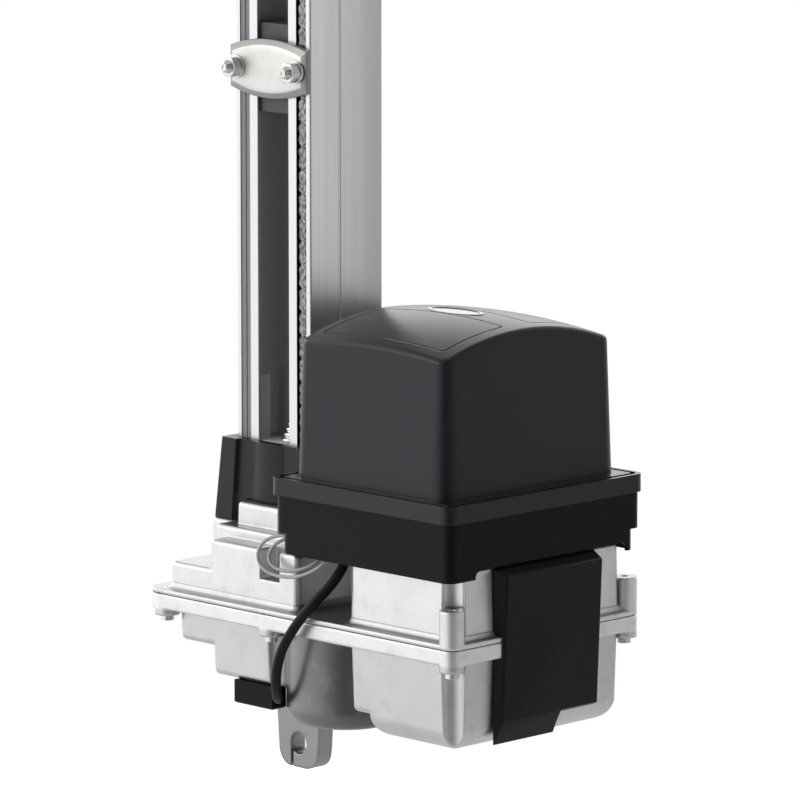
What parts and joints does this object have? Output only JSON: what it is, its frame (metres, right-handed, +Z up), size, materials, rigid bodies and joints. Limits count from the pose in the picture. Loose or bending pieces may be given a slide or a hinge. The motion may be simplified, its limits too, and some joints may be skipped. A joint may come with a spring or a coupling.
{
  "type": "up-and-over door opener",
  "caption": "Door opener drive: a die-cast gear case with a hanging lug, a control box with an arched cover, and an upright chain rail with a sliding carriage.",
  "frame": {"origin": "centre of the hanging lug's hole", "axes": "+Z up along the rail, +X towards the control box, -Y towards the carriage's face"},
  "size_m": [0.2974, 0.196, 0.687],
  "materials": {
    "cast_aluminium": "die-cast, blasted matte",
    "gasket_fibre": "matte",
    "zinc_steel": "zinc plated",
    "rail_aluminium": "extruded, satin",
    "socket_plastic": "moulded, fine grain",
    "chain_steel": "oiled steel",
    "guard_plastic": "smooth",
    "buffer_rubber": "smooth",
    "bracket_plastic": "smooth",
    "plate_steel": "zinc plated plate",
    "slider_nylon": "moulded",
    "machined_steel": "machined",
    "bearing_steel": "polished",
    "wheel_bronze": "machined",
    "motor_paint": "painted",
    "transformer_tape": "taped",
    "box_black": "moulded, satin",
    "badge_grey": "smooth",
    "board_green": "lacquered",
    "terminal_green": "moulded",
    "relay_black": "moulded",
    "capacitor_sleeve": "sleeved",
    "cable_black": "satin",
    "wire_grey": "smooth"
  },
  "bodies": {
    "root": {"upper_case": "cast_aluminium", "lower_case": "cast_aluminium", "case_gasket": "gasket_fibre", "case_screws": "zinc_steel", "board_screws": "zinc_steel", "cover_screws": "zinc_steel", "end_screws": "zinc_steel", "tension_screw": "zinc_steel", "tension_nut": "zinc_steel", "idler_axle": "zinc_steel", "transformer_clamp": "zinc_steel", "rail": "rail_aluminium", "rail_socket": "socket_plastic", "chain": "chain_steel", "chain_guard": "guard_plastic", "buffer": "buffer_rubber", "buffer_bracket": "bracket_plastic", "idler_fork": "plate_steel", "end_bracket": "plate_steel", "shaft_bearings": "bearing_steel", "worm_bearings": "bearing_steel", "motor": "motor_paint", "transformer": "transformer_tape", "tray": "box_black", "cover": "box_black", "side_box": "box_black", "sensor_housing": "box_black", "cover_badge": "badge_grey", "control_board": "board_green", "board_terminals": "terminal_green", "board_relays": "relay_black", "board_capacitor": "capacitor_sleeve", "sensor_cable": "cable_black", "cable_grommet": "cable_black", "outer_wire": "wire_grey", "inner_wire": "wire_grey"},
    "drive_train": {"drive_sprocket": "machined_steel", "drive_shaft": "machined_steel", "worm_wheel": "wheel_bronze"},
    "worm": {"worm_shaft": "machined_steel"},
    "idler": {"idler_sprocket": "machined_steel"},
    "carriage": {"carriage_plate": "plate_steel", "carriage_slider": "slider_nylon", "carriage_studs": "zinc_steel", "carriage_washers": "zinc_steel", "carriage_nuts": "zinc_steel"}
  },
  "joints": [
    {"name": "carriage_slide", "type": "slide", "parent": "root", "child": "carriage", "axis": [0, 0, 1], "range_m": [-0.175, 0.08]},
    {"name": "sprocket_spin", "type": "hinge", "parent": "root", "child": "drive_train", "pos_m": [0, 0, 0.116], "axis": [0, 1, 0], "continuous": true},
    {"name": "worm_spin", "type": "hinge", "parent": "root", "child": "worm", "pos_m": [0, 0.02, 0.086], "axis": [1, 0, 0], "continuous": true},
    {"name": "idler_spin", "type": "hinge", "parent": "root", "child": "idler", "pos_m": [0, 0, 0.608], "axis": [0, 1, 0], "continuous": true}
  ],
  "couplings": [
    {"joint": "sprocket_spin", "follows": "carriage_slide", "rad_per_m": -37.261},
    {"joint": "idler_spin", "follows": "carriage_slide", "rad_per_m": -37.261},
    {"joint": "worm_spin", "follows": "carriage_slide", "rad_per_m": -894.25}
  ]
}
